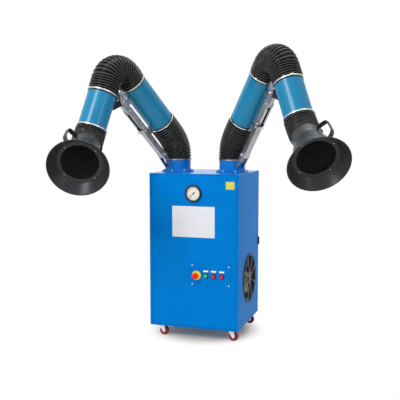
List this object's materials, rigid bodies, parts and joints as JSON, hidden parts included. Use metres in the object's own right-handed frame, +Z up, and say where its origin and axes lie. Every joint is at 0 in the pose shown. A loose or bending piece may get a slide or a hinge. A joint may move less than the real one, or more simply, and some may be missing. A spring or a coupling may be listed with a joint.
{
  "type": "mobile twin-arm fume extractor",
  "caption": "Wheeled blue filter cabinet with hinged door, gauge, push buttons and fan outlet, carrying jointed extraction arms with ribbed hoses and flared hoods.",
  "frame": {"origin": "middle of the underside of the cabinet floor, above the casters", "axes": "+X to the right of someone facing the door, +Y to the back, +Z up"},
  "size_m": [1.625, 1.3947, 1.8626],
  "materials": {
    "cabinet_blue": "satin paint",
    "tube_blue": "gloss paint",
    "dark_metal": "dark paint",
    "zinc": "zinc plated",
    "aluminium": "mill finish",
    "hose_black": "ribbed",
    "hood_charcoal": "moulded",
    "wheel_red": "moulded",
    "filter_media": "pleated",
    "gauge_black": "moulded",
    "gauge_glass": "clear",
    "yellow": "moulded",
    "red": "moulded",
    "green": "moulded"
  },
  "bodies": {
    "cabinet": {"base_frame": "cabinet_blue", "left_panel": "cabinet_blue", "right_panel": "cabinet_blue", "rear_panel": "cabinet_blue", "top_panel": "cabinet_blue", "filter_shelf": "zinc", "filter_cartridge": "filter_media", "blower_motor": "dark_metal", "fan_guard": "dark_metal", "left_base_flange": "dark_metal", "right_base_flange": "dark_metal"},
    "fan": {"fan_impeller": "zinc"},
    "door": {"front_door": "cabinet_blue", "control_plate": "cabinet_blue", "estop_base": "yellow", "gauge_case": "gauge_black", "gauge_lens": "gauge_glass"},
    "needle": {"gauge_needle": "gauge_black"},
    "estop": {"estop_button": "red"},
    "start": {"start_button": "green"},
    "stop": {"stop_button": "red"},
    "reset": {"reset_button": "red"},
    "front_left_fork": {"front_left_caster_fork": "zinc"},
    "front_left_wheel": {"front_left_caster_wheel": "wheel_red"},
    "front_right_fork": {"front_right_caster_fork": "zinc"},
    "front_right_wheel": {"front_right_caster_wheel": "wheel_red"},
    "rear_left_fork": {"rear_left_caster_fork": "zinc"},
    "rear_left_wheel": {"rear_left_caster_wheel": "wheel_red"},
    "rear_right_fork": {"rear_right_caster_fork": "zinc"},
    "rear_right_wheel": {"rear_right_caster_wheel": "wheel_red"},
    "left_swivel": {"left_swivel_collar": "cabinet_blue", "left_shoulder_hose": "hose_black"},
    "left_lower": {"left_lower_tube": "tube_blue", "left_lower_beam": "aluminium", "left_upper_channel": "aluminium", "left_gas_spring": "dark_metal", "left_elbow_bracket": "aluminium", "left_elbow_hose": "hose_black"},
    "left_upper": {"left_elbow_knuckle": "dark_metal", "left_upper_tube": "tube_blue"},
    "left_yoke": {"left_hood_yoke": "dark_metal", "left_hood_hose": "hose_black"},
    "left_head": {"left_hood": "hood_charcoal", "left_hood_handle": "hood_charcoal", "left_hood_mesh": "dark_metal"},
    "right_swivel": {"right_swivel_collar": "cabinet_blue", "right_shoulder_hose": "hose_black"},
    "right_lower": {"right_lower_tube": "tube_blue", "right_lower_beam": "aluminium", "right_upper_channel": "aluminium", "right_gas_spring": "dark_metal", "right_elbow_bracket": "aluminium", "right_elbow_hose": "hose_black"},
    "right_upper": {"right_elbow_knuckle": "dark_metal", "right_upper_tube": "tube_blue"},
    "right_yoke": {"right_hood_yoke": "dark_metal", "right_hood_hose": "hose_black"},
    "right_head": {"right_hood": "hood_charcoal", "right_hood_handle": "hood_charcoal", "right_hood_mesh": "dark_metal"}
  },
  "joints": [
    {"name": "fan_spin", "type": "hinge", "parent": "cabinet", "child": "fan", "pos_m": [0.26, 0.01, 0.293], "axis": [1, 0, 0], "continuous": true},
    {"name": "door_hinge", "type": "hinge", "parent": "cabinet", "child": "door", "pos_m": [0.2955, -0.2798, 0.5], "axis": [0, 0, 1], "range_deg": [0, 95]},
    {"name": "needle_turn", "type": "hinge", "parent": "door", "child": "needle", "pos_m": [0, -0.2756, 0.874], "axis": [0, 1, 0], "range_deg": [0, 270]},
    {"name": "estop_press", "type": "slide", "parent": "door", "child": "estop", "axis": [0, 1, 0], "range_m": [0, 0.006]},
    {"name": "start_press", "type": "slide", "parent": "door", "child": "start", "axis": [0, 1, 0], "range_m": [0, 0.004], "stiffness_N_per_m": 500},
    {"name": "stop_press", "type": "slide", "parent": "door", "child": "stop", "axis": [0, 1, 0], "range_m": [0, 0.004], "stiffness_N_per_m": 500},
    {"name": "reset_press", "type": "slide", "parent": "door", "child": "reset", "axis": [0, 1, 0], "range_m": [0, 0.004], "stiffness_N_per_m": 500},
    {"name": "front_left_swivel", "type": "hinge", "parent": "cabinet", "child": "front_left_fork", "pos_m": [-0.238, -0.22, -0.01], "axis": [0, 0, 1], "continuous": true},
    {"name": "front_left_roll", "type": "hinge", "parent": "front_left_fork", "child": "front_left_wheel", "pos_m": [-0.22, -0.22, -0.0485], "axis": [0, 1, 0], "continuous": true},
    {"name": "front_right_swivel", "type": "hinge", "parent": "cabinet", "child": "front_right_fork", "pos_m": [0.238, -0.22, -0.01], "axis": [0, 0, 1], "continuous": true},
    {"name": "front_right_roll", "type": "hinge", "parent": "front_right_fork", "child": "front_right_wheel", "pos_m": [0.256, -0.22, -0.0485], "axis": [0, 1, 0], "continuous": true},
    {"name": "rear_left_swivel", "type": "hinge", "parent": "cabinet", "child": "rear_left_fork", "pos_m": [-0.238, 0.22, -0.01], "axis": [0, 0, 1], "continuous": true},
    {"name": "rear_left_roll", "type": "hinge", "parent": "rear_left_fork", "child": "rear_left_wheel", "pos_m": [-0.22, 0.22, -0.0485], "axis": [0, 1, 0], "continuous": true},
    {"name": "rear_right_swivel", "type": "hinge", "parent": "cabinet", "child": "rear_right_fork", "pos_m": [0.238, 0.22, -0.01], "axis": [0, 0, 1], "continuous": true},
    {"name": "rear_right_roll", "type": "hinge", "parent": "rear_right_fork", "child": "rear_right_wheel", "pos_m": [0.256, 0.22, -0.0485], "axis": [0, 1, 0], "continuous": true},
    {"name": "left_arm_swivel", "type": "hinge", "parent": "cabinet", "child": "left_swivel", "pos_m": [-0.19, -0.03, 1.01], "axis": [0, 0, 1], "range_deg": [-80, 15]},
    {"name": "left_shoulder", "type": "hinge", "parent": "left_swivel", "child": "left_lower", "pos_m": [-0.25339, -0.16595, 1.118], "axis": [-0.9063, 0.4226, 0], "range_deg": [-25, 30], "deforming": ["left_shoulder_hose"]},
    {"name": "left_elbow", "type": "hinge", "parent": "left_lower", "child": "left_upper", "pos_m": [-0.40201, -0.48466, 1.45055], "axis": [-0.9063, 0.4226, 0], "range_deg": [-30, 45], "deforming": ["left_elbow_hose"]},
    {"name": "left_hood_turn", "type": "hinge", "parent": "left_upper", "child": "left_yoke", "pos_m": [-0.50883, -0.71373, 1.22666], "axis": [-0.1576, -0.338, -0.9278], "range_deg": [-60, 60]},
    {"name": "left_hood_tilt", "type": "hinge", "parent": "left_yoke", "child": "left_head", "pos_m": [-0.50883, -0.71373, 1.22666], "axis": [-0.867, -0.4025, 0.2939], "range_deg": [-45, 20], "deforming": ["left_hood_hose"]},
    {"name": "right_arm_swivel", "type": "hinge", "parent": "cabinet", "child": "right_swivel", "pos_m": [0.19, -0.03, 1.01], "axis": [0, 0, 1], "range_deg": [-30, 60]},
    {"name": "right_shoulder", "type": "hinge", "parent": "right_swivel", "child": "right_lower", "pos_m": [0.30147, -0.13037, 1.118], "axis": [-0.6691, -0.7431, 0], "range_deg": [-22, 25], "deforming": ["right_shoulder_hose"]},
    {"name": "right_elbow", "type": "hinge", "parent": "right_lower", "child": "right_upper", "pos_m": [0.52685, -0.3333, 1.4952], "axis": [-0.6691, -0.7431, 0], "range_deg": [-30, 45], "deforming": ["right_elbow_hose"]},
    {"name": "right_hood_turn", "type": "hinge", "parent": "right_upper", "child": "right_yoke", "pos_m": [0.72715, -0.51365, 1.29184], "axis": [0.3304, -0.2975, -0.8957], "range_deg": [-60, 60]},
    {"name": "right_hood_tilt", "type": "hinge", "parent": "right_yoke", "child": "right_head", "pos_m": [0.72715, -0.51365, 1.29184], "axis": [-0.9237, -0.2968, -0.2422], "range_deg": [-30, 35], "deforming": ["right_hood_hose"]}
  ]
}
